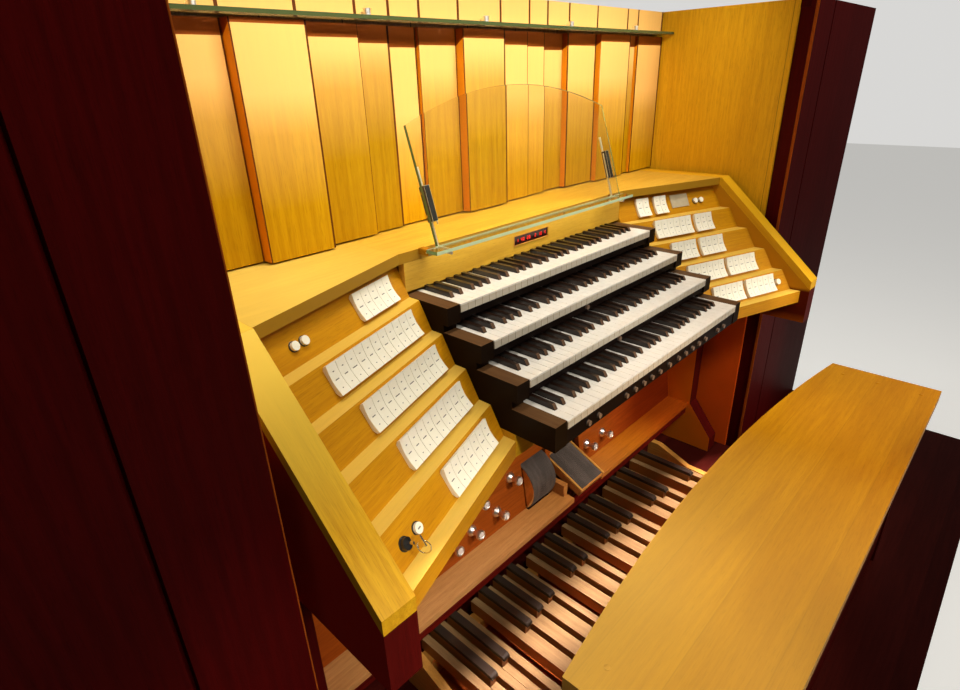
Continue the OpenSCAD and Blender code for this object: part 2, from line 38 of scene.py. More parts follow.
KEY = 0.165 / 7
KEYS_HALF = 18 * KEY
ROW_X = KEYS_HALF + 0.040 + 0.0003
INNER_HALF = 0.903
TURN = math.radians(19.2)
ROW_LONG = (INNER_HALF - ROW_X) / math.cos(TURN)
ROWS = 5
ROW_FRONT, ROW_Z = 0.107, 0.844
ROW_STEP, ROW_RISE, TREAD = 0.072, 0.0645, 0.034
FACE_LEAN = math.atan((ROW_STEP - TREAD) * math.cos(TURN) / ROW_RISE)
TAB_PITCH, TAB_GAP, TAB_HIGH, TAB_FOOT = 0.0273, 0.0012, 0.062, 0.007
TAB_THICK, TAB_HOLLOW, TAB_STEPS = 0.013, 0.005, 4
MANUAL_Z, MANUAL_RISE, MANUAL_STEP = 0.920, 0.061, 0.100
SHELF_TOP, SHELF_EDGE = 1.205, 0.0248
CAP_SLOPE = math.radians(41.86)
TOE_Z, TOE_BACK = 0.260, 0.390
KNEE_LEAN = math.radians(8)
DRUM = Vector((-0.018, 0.455, 0.325))
DRUM_R, DRUM_WIDE = 0.095, 0.115
SHOE_X, SHOE_WIDE, SHOE_LONG = 0.150, 0.140, 0.170
SHOE_FOOT_Y, SHOE_FOOT_Z = 0.283, 0.285
SHOE_TILT = math.radians(25)
DESK = Vector((-0.010, 0.412, 1.200))
DESK_LEAN = math.radians(17.5)
ROD_X = 0.372
NICHE_HALF, NICHE_FRONT = 0.998, 0.150
POST_IN, POST_OUT, FRONT_Y, GAP_BACK = 1.005, 1.165, 0.093, 0.1186
PLATFORM, PLATFORM_HALF, PLATFORM_FRONT = 0.060, 1.700, -0.685
PEDAL_PITCH, PEDALS_HALF = 0.065, 0.62
BENCH_TOP = 0.680

# Directions on the object

ACROSS = (1, 0, 0)
BACKWARD = (0, 1, 0)
UP = (0, 0, 1)


# Camera and lamps

CAMERA_PLACE = Vector((-1.27499, -0.58460, 1.56373))
CAMERA_RIGHT = Vector((0.6875, -0.7256, -0.0300))
CAMERA_FORWARD = Vector((0.6512, 0.6342, -0.4168))
LENS, SENSOR = 21.941, 36
SPOT_BLEND, SPOT_RADIUS = 0.6, 0.15


def make_camera():
    """The camera stands where the photo was taken."""
    forward = CAMERA_FORWARD.normalized()
    right = (CAMERA_RIGHT - forward * CAMERA_RIGHT.dot(forward)).normalized()
    up = right.cross(forward)
    data = bpy.data.cameras.new("camera")
    data.lens = LENS
    data.sensor_width = SENSOR
    data.sensor_fit = "HORIZONTAL"
    data.clip_start = 0.02
    data.clip_end = 60
    cam = bpy.data.objects.new("camera", data)
    bpy.context.scene.collection.objects.link(cam)
    stand = Matrix((right, up, -forward)).transposed().to_4x4()
    stand.translation = CAMERA_PLACE
    cam.matrix_world = stand
    bpy.context.scene.camera = cam


def hang(data, name, place, aim):
    """Puts a lamp in its place, turned to its aim and unseen by the camera."""
    lamp = bpy.data.objects.new(name, data)
    bpy.context.scene.collection.objects.link(lamp)
    lamp.visible_camera = False
    lamp.location = place
    lamp.rotation_euler = (Vector(aim) - Vector(place)).to_track_quat("-Z", "Y").to_euler()
    return lamp


def area(name, place, aim, size, power, colour, spread=180, mirrored=True):
    data = bpy.data.lights.new(name, "AREA")
    data.shape = "RECTANGLE"
    data.size, data.size_y = size
    data.energy = power
    data.color = colour
    data.spread = math.radians(spread)
    hang(data, name, place, aim).visible_glossy = mirrored


def spot(name, place, aim, cone, power, colour):
    data = bpy.data.lights.new(name, "SPOT")
    data.energy = power
    data.color = colour
    data.spot_size = math.radians(cone)
    data.spot_blend = SPOT_BLEND
    data.shadow_soft_size = SPOT_RADIUS
    hang(data, name, place, aim)


# Node helpers

class Net:
    """One material and the few node forms that all looks are made of."""

    def __init__(self, name):
        self.mat = bpy.data.materials.new(name)
        self.mat.use_nodes = True
        self.t = self.mat.node_tree
        self.bsdf = self.t.nodes["Principled BSDF"]
        self.coord = self.t.nodes.new("ShaderNodeTexCoord").outputs["Object"]

    def add(self, kind, **values):
        """A new node: each value goes to the input of that name, or else to the setting."""
        n = self.t.nodes.new(kind)
        for k, v in values.items():
            if k in n.inputs.keys():
                self.feed(v, n.inputs[k])
            else:
                setattr(n, k, v)
        return n

    def feed(self, value, socket):
        """Links an output to the socket, or sets a plain value on it."""
        if hasattr(value, "is_output"):
            self.t.links.new(value, socket)
        else:
            socket.default_value = value

    def set(self, **values):
        """Numbers that are the same all over the surface, on the shader's own sockets."""
        for k, v in values.items():
            self.bsdf.inputs[k.replace("_", " ")].default_value = v

    def drive(self, socket, value):
        self.t.links.new(value, self.bsdf.inputs[socket])

    def mapping(self, scale, rotate=(0, 0, 0)):
        turned = self.add("ShaderNodeMapping", Vector=self.coord, Rotation=rotate)
        return self.add("ShaderNodeMapping", Vector=turned.outputs[0], Scale=scale).outputs[0]

    def noise(self, vector, scale, detail=3.0, rough=0.5):
        n = self.add("ShaderNodeTexNoise", Vector=vector, Scale=scale, Detail=detail, Roughness=rough)
        return n.outputs["Fac"]

    def ramp(self, fac, *stops, mode="LINEAR"):
        """Greys or colours at positions, in rising order."""
        n = self.add("ShaderNodeValToRGB", Fac=fac)
        n.color_ramp.interpolation = mode
        elements = n.color_ramp.elements
        elements[0].position = stops[0][0]
        elements[1].position = stops[-1][0]
        for position, _ in stops[1:-1]:
            elements.new(position)
        for element, (_, c) in zip(elements, stops):
            c = c if hasattr(c, "__len__") else (c, c, c)
            element.color = (*c, 1)
        return n.outputs["Color"]

    def mix(self, fac, a, b, blend="MIX"):
        """Colour b over colour a; inputs 0, 6 and 7 are the factor and the two colours."""
        n = self.t.nodes.new("ShaderNodeMix")
        n.data_type = "RGBA"
        n.blend_type = blend
        for key, v in ((0, fac), (6, a), (7, b)):
            self.feed((*v, 1) if isinstance(v, tuple) else v, n.inputs[key])
        return n.outputs[2]

    def math(self, op, a, b=0.0):
        n = self.t.nodes.new("ShaderNodeMath")
        n.operation = op
        for i, v in enumerate((a, b)):
            self.feed(v, n.inputs[i])
        return n.outputs[0]

    def times(self, a, b):
        return self.math("MULTIPLY", a, b)

    def above(self, value, limit):
        """One where the value is greater than the limit, else nought."""
        return self.math("GREATER_THAN", value, limit)

    def below(self, value, limit):
        return self.math("LESS_THAN", value, limit)

    def band(self, value, low, high):
        """One between the two limits, else nought."""
        return self.times(self.above(value, low), self.below(value, high))

    def size_of(self, value):
        return self.math("ABSOLUTE", value)

    def bump(self, height, strength, distance):
        n = self.add("ShaderNodeBump", Height=height, Strength=strength, Distance=distance)
        self.drive("Normal", n.outputs[0])

    def colour(self, c):
        self.drive("Base Color", c)

    def place(self, axis):
        """The coordinate along one axis of the object."""
        return self.add("ShaderNodeSeparateXYZ", Vector=self.coord).outputs[axis]

    def dot(self, vector, axis):
        n = self.add("ShaderNodeVectorMath", operation="DOT_PRODUCT")
        self.feed(vector, n.inputs[0])
        self.feed(axis, n.inputs[1])
        return n.outputs["Value"]

    def facing(self, axis):
        """How much the surface faces a fixed direction of the object."""
        return self.dot(self.add("ShaderNodeNewGeometry").outputs["Normal"], axis)

    def to_player(self):
        """How much the surface faces the player."""
        return self.times(self.facing(BACKWARD), -1)

    def on_sides(self):
        """One on upright faces, nought on level ones."""
        return self.ramp(self.facing(UP), (0.5, 1), (0.8, 0))

    def on_tops(self):
        """One on level faces, nought on leaning and upright ones."""
        return self.ramp(self.facing(UP), (0.75, 0), (0.95, 1))


GRAIN = {"X": (0.05, 1, 1), "Y": (1, 0.05, 1), "Z": (1, 1, 0.05)}


def wood(name, pale, mid, deep, grain="X", rotate=(0, 0, 0), rough=0.4, planks=None, streak=0.5, coat=0.05,
         shine=0.25, extra=None):
    """Wood with cloudy tones, streaks, rings and pores along the grain; planks are (axis, width)."""
    n = Net(name)
    base = n.mapping(GRAIN[grain], rotate)
    wide = n.noise(base, 6.0, 4.0, 0.55)
    fine = n.noise(base, 130.0, 6.0, 0.7)
    pore = n.noise(base, 700.0, 2.0, 0.5)
    rings = n.add("ShaderNodeTexWave", Vector=base, Scale=11.0, Distortion=7.0, Detail=3.0,
                  **{"Detail Scale": 1.6}).outputs["Fac"]
    c = n.mix(n.ramp(wide, (0.3, 0), (0.7, 1)), pale, mid)
    c = n.mix(n.times(n.ramp(fine, (0.4, 0), (0.66, 1)), streak), c, deep)
    c = n.mix(n.times(n.ramp(rings, (0.5, 0), (0.98, 1)), 0.25), c, deep)
    dark = tuple(v * 0.55 for v in deep)
    c = n.mix(n.times(n.ramp(pore, (0.56, 0), (0.68, 1)), 0.3), c, dark)
    if planks:
        axis, width = planks
        split = n.add("ShaderNodeSeparateXYZ", Vector=n.mapping((1, 1, 1), rotate)).outputs[axis]
        cell = n.math("FLOOR", n.math("DIVIDE", split, width))
        tone = n.add("ShaderNodeTexWhiteNoise", noise_dimensions="1D", W=cell).outputs["Value"]
        c = n.mix(n.times(tone, 0.5), c, mid, "MULTIPLY")
        near = n.math("PINGPONG", n.math("DIVIDE", split, width), 0.5)
        c = n.mix(n.times(n.ramp(near, (0.0, 1), (0.012, 0)), 0.35), c, dark)
    if extra:
        c = extra(n, c)
    n.colour(c)
    n.set(Coat_Weight=coat, Coat_Roughness=0.2, Specular_IOR_Level=shine)
    n.drive("Roughness", n.math("ADD", n.times(fine, 0.14), rough - 0.07))
    n.bump(n.math("ADD", n.times(fine, 0.6), n.times(pore, 0.4)), 0.12, 0.0006)
    return n.mat


def plastic(name, pale, spots, rough=0.28, coat=0.3, extra=None):
    n = Net(name)
    cloud = n.noise(n.coord, 40.0, 4.0, 0.6)
    c = n.mix(n.ramp(cloud, (0.35, 0), (0.75, 1)), pale, spots)
    if extra:
        c = extra(n, c)
    n.colour(c)
    n.drive("Roughness", n.math("ADD", n.times(cloud, 0.12), rough - 0.06))
    n.set(Coat_Weight=coat, Coat_Roughness=0.12)
    n.bump(n.noise(n.coord, 260.0, 2.0), 0.03, 0.0004)
    return n.mat


def metal(name, pale, worn, rough, extra=None):
    n = Net(name)
    smear = n.noise(n.coord, 30.0, 5.0, 0.6)
    c = n.mix(n.ramp(smear, (0.4, 0), (0.7, 1)), pale, worn)
    if extra:
        c = extra(n, c)
    n.colour(c)
    n.set(Metallic=1.0)
    n.drive("Roughness", n.math("ADD", n.times(smear, 0.12), rough - 0.05))
    n.bump(smear, 0.02, 0.0003)
    return n.mat


def rubber(name, pale, dark):
    n = Net(name)
    grit = n.noise(n.coord, 900.0, 3.0, 0.7)
    scuff = n.noise(n.mapping((1, 0.25, 0.25)), 26.0, 4.0, 0.7)
    c = n.mix(n.ramp(scuff, (0.45, 0), (0.7, 1)), dark, pale)
    c = n.mix(n.times(grit, 0.3), c, tuple(v * 1.8 for v in pale))
    n.colour(c)
    n.drive("Roughness", n.math("ADD", n.times(scuff, 0.2), 0.55))
    n.bump(grit, 0.35, 0.0005)
    return n.mat


def sheet_glass(name, flat_axis, tint, edge, end, lets_light=0.0, ledge=0.0):
    """Clear on broad faces and green on the edges; below the ledge's top only level faces are clear."""
    n = Net(name)
    side = n.size_of(n.facing(flat_axis))
    if ledge:
        level = n.above(n.size_of(n.facing(UP)), 0.7)
        sheet = n.above(n.place(2), ledge)
        side = n.math("ADD", n.times(side, sheet), n.times(level, n.math("SUBTRACT", 1.0, sheet)))
    haze = n.noise(n.coord, 14.0, 4.0, 0.6)
    green = n.mix(n.ramp(n.size_of(n.facing(ACROSS)), (0.4, 0), (0.8, 1)), edge, end)
    n.colour(n.mix(n.ramp(side, (0.55, 1), (0.85, 0)), tint, green))
    n.drive("Roughness", n.times(n.ramp(haze, (0.4, 0), (0.8, 1)), 0.02))
    n.drive("Transmission Weight", n.ramp(side, (0.55, 0.35), (0.85, 1)))
    n.set(IOR=1.45)
    if lets_light:
        clear = n.add("ShaderNodeBsdfTransparent", Color=(*tint, 1))
        shadow = n.times(n.add("ShaderNodeLightPath").outputs["Is Shadow Ray"], lets_light)
        both = n.t.nodes.new("ShaderNodeMixShader")
        for i, output in enumerate((shadow, n.bsdf.outputs[0], clear.outputs[0])):
            n.feed(output, both.inputs[i])
        n.feed(both.outputs[0], n.t.nodes["Material Output"].inputs["Surface"])
    return n.mat


def lamp_glow(name, colour, strength):
    n = Net(name)
    flicker = n.noise(n.coord, 300.0, 2.0)
    n.colour(n.mix(flicker, colour, tuple(v * 0.8 for v in colour)))
    n.drive("Emission Color", n.mix(flicker, colour, tuple(v * 0.85 for v in colour)))
    n.set(Emission_Strength=strength, Roughness=0.4)
    return n.mat


# Looks that change across one node: each takes the net and the colour so far, and returns the new colour

WALL_WIDTHS = (148, 145, 165, 145, 98, 92, 131, 166, 122, 86, 106, 162, 186, 65, 179)
# How much darker each wall board is: its own tone, with painted shade on the boards behind the music desk
WALL_DARKENING = (0.2, 0.75, 0.45, 1.0, 1.2, 0.3, 0.85, 1.0, 0.45, 0.35, 0.7, 0.6, 0.55, 0.9, 0.3)
WALL_HALF = NICHE_HALF - 0.002
# Painted shade line where each wall board meets the next: its tone, the limit that picks it out, its width in
# mm
SHADE_LINE_TONE, SHADE_LINE_LIMIT, SHADE_LINE_WIDE = 0.16, 0.3, 8
SHADOW_SLOPE, SHADOW_Z, SHELF_UNDER = 0.67, 2.0648, 1.689
GLOW_Z, GLOW_SHIFT, MEAN_TONE = 1.6, 0.6, 0.85


def board_stops():
    """The tone of each wall board along the wall, partly painted shade, with a painted shade line at its
    right end.
    """
    stops, at, whole = [], 0, sum(WALL_WIDTHS)
    for wide, darkening in zip(WALL_WIDTHS, WALL_DARKENING):
        stops.append((at / whole, 0.70 + 0.30 * (1 - darkening)))
        stops.append(((at + wide - SHADE_LINE_WIDE) / whole, SHADE_LINE_TONE))
        at += wide
    return stops


def board_tones_and_light(n, c):
    """Boards of many tones, with painted light: orange sides, a pale glow near the lamp, a dark shadow of the
    shelf.
    """
    share = n.math("DIVIDE", n.math("ADD", n.place(0), WALL_HALF), 2 * WALL_HALF)
    tones = n.ramp(share, *board_stops(), mode="CONSTANT")
    front = n.above(n.to_player(), 0.8)
    c = n.mix(1.0, c, tones, "MULTIPLY")
    side = n.size_of(n.facing(ACROSS))
    # Painted light: the side faces of the boards are orange
    c = n.mix(n.ramp(side, (0.6, 0), (0.9, 1)), c, (0.74, 0.27, 0.008))
    high = n.math("SUBTRACT", n.dot(n.coord, (0, SHADOW_SLOPE, 1)), GLOW_Z)
    moved = n.math("ADD", high, n.times(n.math("SUBTRACT", tones, MEAN_TONE), GLOW_SHIFT))
    # Painted glow, pale high on the boards near the lamp
    pale = n.ramp(moved, (0.12, 0), (0.270, 0.28), (0.350, 0.80))
    c = n.mix(n.times(pale, front), c, (0.88, 0.50, 0.15))
    # Painted shade line where each board meets the next
    joint = n.times(n.below(tones, SHADE_LINE_LIMIT), front)
    c = n.mix(joint, c, (0.10, 0.026, 0.004))
    # Painted shadow of the shelf, a dark band just below it
    shade = n.times(n.above(high, SHADOW_Z - GLOW_Z), n.below(n.place(2), SHELF_UNDER))
    return n.mix(shade, c, (0.26, 0.105, 0.035), "MULTIPLY")


def wall_sides(n, c):
    """Inner faces: oak, painted shade just below the terraces, orange near the knees; outer faces: dark red
    with painted light.
    """
    inside = n.below(n.size_of(n.place(0)), INNER_HALF + 0.004)
    outside = n.above(n.size_of(n.place(0)), INNER_HALF + 0.05)
    across = n.above(n.size_of(n.facing(ACROSS)), 0.7)
    high = n.place(2)
    # Painted shade: dark just below the terraces, oak beside them
    warm = n.mix(n.ramp(high, (0.845, 0), (0.855, 1)), (0.10, 0.010, 0.002), (0.50, 0.215, 0.008))
    warm = n.mix(n.ramp(high, (0.66, 1), (0.76, 0)), warm, (0.85, 0.20, 0.008))
    # Painted light: the outer faces are a lighter dark red
    c = n.mix(n.times(outside, across), c, (0.26, 0.012, 0.009))
    return n.mix(n.times(inside, across), c, warm)


def panel_joint(n, c):
    """A fine joint behind the front lipping of each niche side, and a redder colour below the terraces."""
    joint = n.band(n.place(1), NICHE_FRONT + 0.0150, NICHE_FRONT + 0.0165)
    c = n.mix(n.times(joint, 0.75), c, (0.05, 0.015, 0.004))
    low = n.ramp(n.place(2), (0.0, 1), (0.84, 1), (0.96, 0))
    return n.mix(low, c, (0.80, 0.110, 0.006))


def to_the_right(n):
    """Nought at the left studs, one at the right end of the toe shelf."""
    return n.math("DIVIDE", n.math("ADD", n.place(0), 0.40), 1.12)


def toe_painted_shade(n, c):
    """Painted shade: the toe shelf is pink on the left and deep orange on the right."""
    pink, gold, deep = (1.0, 1.0, 1.0), (0.96, 0.58, 0.09), (0.82, 0.28, 0.04)
    tint = n.ramp(to_the_right(n), (0.0, pink), (0.78, gold), (1.0, deep))
    return n.mix(1.0, c, tint, "MULTIPLY")


def knee_painted_shade(n, c):
    """Painted shade: the knee panel is deeper and redder at its right end."""
    plain, warm, deep = (1.0, 1.0, 1.0), (1.0, 0.80, 0.80), (0.62, 0.30, 0.25)
    tint = n.ramp(to_the_right(n), (0.70, plain), (0.78, warm), (0.92, deep))
    return n.mix(1.0, c, tint, "MULTIPLY")


def dark_line(low, high):
    """A dark line all round, between two heights; on the kick board it is a painted shadow line."""
    def paint_line(n, c):
        return n.mix(n.band(n.place(2), low, high), c, (0.008, 0.002, 0.001))
    return paint_line


def deck_paint(n, c):
    """A line near the platform's edge, and a paler, warmer colour under the pedals."""
    under = n.times(n.band(n.place(0), -PEDALS_HALF, PEDALS_HALF), n.band(n.place(1), -0.30, 0.30))
    return dark_line(0.040, 0.043)(n, n.mix(under, c, (0.24, 0.045, 0.006)))


def pedal_painted_shade(n, c):
    """Painted shade: sides darker and warmer than the tops, and tops darkening towards the bench, where the
    lamps fall on them.
    """
    c = n.mix(1.0, c, n.ramp(n.math("ADD", n.place(1), 0.5), (0.50, 0.50), (0.64, 1)), "MULTIPLY")
    return n.mix(n.on_sides(), c, (0.34, 0.115, 0.020))


def key_front(top):
    """Below its covering, the key of a manual with this top is of warm wood."""
    def paint_front(n, c):
        front = n.above(n.to_player(), 0.8)
        low = n.below(n.place(2), top - 0.0035)
        side = n.above(n.size_of(n.facing(ACROSS)), 0.7)
        c = n.mix(n.times(side, low), c, (0.36, 0.26, 0.16))
        return n.mix(n.times(front, low), c, (0.56, 0.49, 0.38))
    return paint_front


def sharp_front_highlight(n, c):
    """A painted highlight: the sloping front ends of the sharps are brown."""
    lit = n.ramp(n.facing((0, -0.66, 0.75)), (0.86, 0), (0.97, 1))
    return n.mix(n.times(lit, 0.8), c, (0.16, 0.085, 0.045))


def cap_top_sheen(n, c):
    """A painted sheen: the dark pedal caps are grey on their tops."""
    return n.mix(n.times(n.on_tops(), 0.3), c, (0.060, 0.040, 0.030))


def back_joints(n, c):
    """Upright boards with dark joints and three rows of screws on the case's back."""
    board, rows, screw = 0.20, 1.10, 0.006
    x, z = n.place(0), n.place(2)
    near = n.math("PINGPONG", n.math("DIVIDE", x, board), 0.5)
    c = n.mix(n.ramp(near, (0.006, 0.85), (0.014, 0)), c, (0.03, 0.010, 0.003))
    cell = n.math("FLOOR", n.math("DIVIDE", x, board))
    tone = n.add("ShaderNodeTexWhiteNoise", noise_dimensions="1D", W=cell).outputs["Value"]
    c = n.mix(n.times(tone, 0.5), c, (0.55, 0.45, 0.40), "MULTIPLY")
    across = n.math("SUBTRACT", n.math("PINGPONG", n.math("DIVIDE", x, board / 2), 0.5), 0.25)
    along = n.math("SUBTRACT", n.math("PINGPONG", n.math("DIVIDE", z, rows), 0.5), 0.25)
    across = n.math("POWER", n.times(across, board / 2), 2)
    along = n.math("POWER", n.times(along, rows), 2)
    far = n.math("ADD", across, along)
    return n.mix(n.below(far, screw ** 2), c, (0.42, 0.36, 0.24))


def cap_painted_light(n, c):
    """Painted light makes the right cap paler than the left one, and the left one pale only near its upper
    end.
    """
    right = n.above(n.place(0), 0.0)
    c = n.mix(n.times(right, 0.35), c, (0.95, 0.50, 0.015))
    high = n.ramp(n.math("SUBTRACT", n.place(2), 0.5), (0.47, 0), (0.65, 1))
    return n.mix(n.times(high, n.math("SUBTRACT", 1.0, right)), c, (0.86, 0.58, 0.07))


def bench_painted_sheen(n, c):
    """A painted sheen: the bench top is pale at its left end, most of all along the front edge."""
    left = n.ramp(n.math("DIVIDE", n.math("SUBTRACT", 0.2, n.place(0)), 0.7), (0.0, 0), (1.0, 1))
    front = n.ramp(n.math("ADD", n.place(1), 0.5), (0.12, 0.6), (0.28, 1))
    return n.mix(n.times(n.times(left, front), 0.45), c, (0.62, 0.42, 0.10))


def cheek_painted_shade(n, c):
    """Painted shade: the upright faces of the key cheeks are nearly black."""
    return n.mix(n.on_sides(), c, (0.013, 0.006, 0.0025))


def stud_heads(n, c):
    """Pale caps on the heads, the outermost part of each stud."""
    normal = Vector((0, -math.cos(KNEE_LEAN), math.sin(KNEE_LEAN)))
    foot = Vector((0, TOE_BACK, TOE_Z)).dot(normal)
    cap = n.above(n.math("SUBTRACT", n.dot(n.coord, normal), foot), 0.0385)
    n.drive("Metallic", n.math("SUBTRACT", 1.0, n.times(cap, 0.8)))
    return n.mix(cap, c, (0.86, 0.76, 0.68))


def terrace_painted_light(n, c):
    """Painted light and shade: flat treads paler than the darker, oranger leaning faces, and slight shade
    below the rows.
    """
    lean = n.ramp(n.to_player(), (0.4, 0), (0.7, 1))
    c = n.mix(n.times(lean, 0.75), c, (0.96, 0.76, 0.25), "MULTIPLY")
    c = n.mix(n.times(n.on_tops(), 0.5), c, (0.86, 0.60, 0.12))
    under = n.ramp(n.place(2), (0.0, 1), (ROW_Z - 0.002, 1), (ROW_Z - 0.001, 0))
    return n.mix(n.times(under, 0.12), c, (0.50, 0.20, 0.02))


def shelf_painted_light(n, c):
    """Painted light makes the shelf paler on the left, and painted shade makes its front edge darker than its
    top.
    """
    left = n.ramp(n.times(n.place(0), -1), (0.45, 0), (0.75, 1))
    c = n.mix(n.times(left, 0.45), c, (0.90, 0.74, 0.16))
    front = n.ramp(n.to_player(), (0.5, 0), (0.8, 1))
    high = n.above(n.place(2), SHELF_TOP - SHELF_EDGE)
    return n.mix(n.times(front, high), c, (0.36, 0.185, 0.010))


# Woods: pale, middle and deep tone of each

OAK = ((0.60, 0.325, 0.012), (0.52, 0.268, 0.007), (0.37, 0.158, 0.003))
PALE_OAK = ((0.68, 0.400, 0.050), (0.60, 0.335, 0.034), (0.43, 0.205, 0.013))
SIDE_OAK = ((0.82, 0.450, 0.014), (0.71, 0.365, 0.008), (0.50, 0.210, 0.004))
BOARD_OAK = ((0.62, 0.340, 0.004), (0.53, 0.272, 0.003), (0.37, 0.155, 0.001))
BENCH_OAK = ((0.475, 0.208, 0.003), (0.405, 0.164, 0.002), (0.29, 0.095, 0.001))
TOE_OAK = ((0.60, 0.31, 0.115), (0.51, 0.245, 0.077), (0.30, 0.12, 0.032))
PEDAL_OAK = ((0.320, 0.195, 0.088), (0.265, 0.150, 0.061), (0.150, 0.063, 0.021))
FRAME_OAK = ((0.62, 0.30, 0.06), (0.52, 0.23, 0.04), (0.32, 0.12, 0.02))
BACK_OAK = ((0.42, 0.190, 0.060), (0.34, 0.140, 0.040), (0.20, 0.070, 0.018))
ORANGE = ((0.40, 0.086, 0.008), (0.31, 0.062, 0.006), (0.18, 0.030, 0.003))
RED_DARK = ((0.072, 0.0018, 0.0016), (0.054, 0.0013, 0.0011), (0.026, 0.0007, 0.0006))
GAP_RED = ((0.20, 0.006, 0.005), (0.15, 0.0045, 0.004), (0.08, 0.002, 0.002))
BROWN_DARK = ((0.085, 0.004, 0.003), (0.062, 0.003, 0.002), (0.03, 0.0015, 0.001))
KICK_BROWN = ((0.15, 0.007, 0.004), (0.11, 0.005, 0.003), (0.05, 0.003, 0.002))
DECK_BROWN = ((0.075, 0.008, 0.005), (0.055, 0.006, 0.004), (0.03, 0.003, 0.002))
WENGE = ((0.110, 0.052, 0.020), (0.060, 0.026, 0.010), (0.150, 0.075, 0.030))
BLACK_WOOD = ((0.012, 0.006, 0.004), (0.008, 0.004, 0.003), (0.004, 0.002, 0.002))
SHARP_WOOD = ((0.024, 0.010, 0.005), (0.015, 0.006, 0.003), (0.007, 0.003, 0.002))
CAP_WOOD = ((0.030, 0.017, 0.010), (0.020, 0.011, 0.007), (0.010, 0.006, 0.004))

# Glass: the clear tint, the green of the edges, and the direction that the desk's broad faces look in

DESK_TINT, DESK_EDGE, DESK_END = (0.91, 0.91, 0.80), (0.55, 0.70, 0.52), (0.16, 0.26, 0.11)
DESK_FACE, DESK_LEDGE_TOP = (0, -0.954, 0.301), 1.2135
SHELF_TINT, SHELF_GREEN = (0.95, 0.98, 0.96), (0.085, 0.115, 0.040)


def oak_looks():
    return {
        "top": wood("oak_shelf", *PALE_OAK, streak=0.35, extra=shelf_painted_light),
        "terrace_right": wood("oak_terrace_right", *OAK, rotate=(0, 0, TURN), extra=terrace_painted_light),
        "terrace_left": wood("oak_terrace_left", *OAK, rotate=(0, 0, -TURN), extra=terrace_painted_light),
        "caps": wood("oak_caps", *OAK, grain="Y", rotate=(-CAP_SLOPE, 0, 0), streak=0.6, coat=0.0, shine=0.10,
                     extra=cap_painted_light),
        "upright": wood("oak_upright", *SIDE_OAK, grain="Z", streak=0.4, coat=0.0, shine=0.15,
                        extra=panel_joint),
        "boards": wood("oak_boards", *BOARD_OAK, grain="Z", coat=0.0, shine=0.08, extra=board_tones_and_light),
        "bench": wood("oak_bench", *BENCH_OAK, planks=(1, 0.118), rough=0.34, coat=0.15, extra=bench_painted_sheen),
        "apron": wood("oak_apron", *OAK),
        "toe": wood("oak_toe", *TOE_OAK, extra=toe_painted_shade),
        "pedal": wood("oak_pedal", *PEDAL_OAK, grain="Y", extra=pedal_painted_shade),
        "frame": wood("oak_frame", *FRAME_OAK, grain="Y"),
        "orange": wood("oak_orange", *ORANGE, coat=0.0, shine=0.06, extra=knee_painted_shade),
        # Orange wood for the painted highlight on the post edges
        "edge_highlight": wood("edge_highlight_orange", *ORANGE, grain="Z", coat=0.0, shine=0.06),
        "back": wood("case_back", *BACK_OAK, grain="Z", coat=0.0, shine=0.15, extra=back_joints),
    }


def dark_wood_looks():
    return {
        "gap_red": wood("gap_red", *GAP_RED, grain="Z", coat=0.0, shine=0.05),
        "red": wood("case_red", *RED_DARK, grain="Z", streak=0.4, rough=0.5, coat=0.0, shine=0.06),
        "red_ends": wood("case_red_ends", *RED_DARK, grain="Z", planks=(1, 0.1370), streak=0.4, rough=0.5,
                         coat=0.0, shine=0.06),
        "brown": wood("side_brown", *BROWN_DARK, grain="Z", streak=0.4, coat=0.0, shine=0.05,
                      extra=wall_sides),
        "brown_x": wood("bench_brown", *BROWN_DARK, streak=0.4, coat=0.0, shine=0.05),
        # The kick board's dark line is a painted shadow line just below the toe shelf's edge
        "kick": wood("kick_brown", *KICK_BROWN, coat=0.0, shine=0.05, extra=dark_line(0.226, 0.2275)),
        "deck": wood("platform_wood", *DECK_BROWN, coat=0.0, shine=0.08, planks=(1, 0.09), extra=deck_paint),
        "wenge": wood("wenge", *WENGE, grain="Y", streak=0.6, rough=0.46, coat=0.0, shine=0.04,
                      extra=cheek_painted_shade),
        "black": wood("black_wood", *BLACK_WOOD, coat=0.0, shine=0.06),
        "sharp": wood("sharp_wood", *SHARP_WOOD, grain="Y", rough=0.3, coat=0.35, extra=sharp_front_highlight),
        "cap": wood("pedal_cap", *CAP_WOOD, grain="Y", rough=0.34, coat=0.6, extra=cap_top_sheen),
    }


def plastic_looks():
    looks = {
        "tab": plastic("ivory_tabs", (0.88, 0.83, 0.68), (0.84, 0.78, 0.62), rough=0.35),
        "stud_face": plastic("stud_face", (0.72, 0.60, 0.54), (0.62, 0.50, 0.44), rough=0.35),
        "grey": plastic("plaque_grey", (0.47, 0.39, 0.25), (0.40, 0.33, 0.21), rough=0.5, coat=0.0),
        "window": plastic("window_dark", (0.050, 0.006, 0.006), (0.035, 0.005, 0.005), rough=0.1),
        "ink": plastic("mark_ink", (0.10, 0.085, 0.07), (0.14, 0.12, 0.10), rough=0.5, coat=0.0),
        "black_metal": plastic("black_metal", (0.012, 0.012, 0.012), (0.02, 0.02, 0.019), rough=0.3),
        "piston": plastic("piston_brown", (0.20, 0.125, 0.080), (0.15, 0.090, 0.058), rough=0.3),
    }
    for number, node in enumerate(NATURALS):
        looks[node] = plastic(node + "_ivory", (0.84, 0.80, 0.73), (0.78, 0.73, 0.65), rough=0.22,
                              extra=key_front(MANUAL_Z + number * MANUAL_RISE))
    return looks


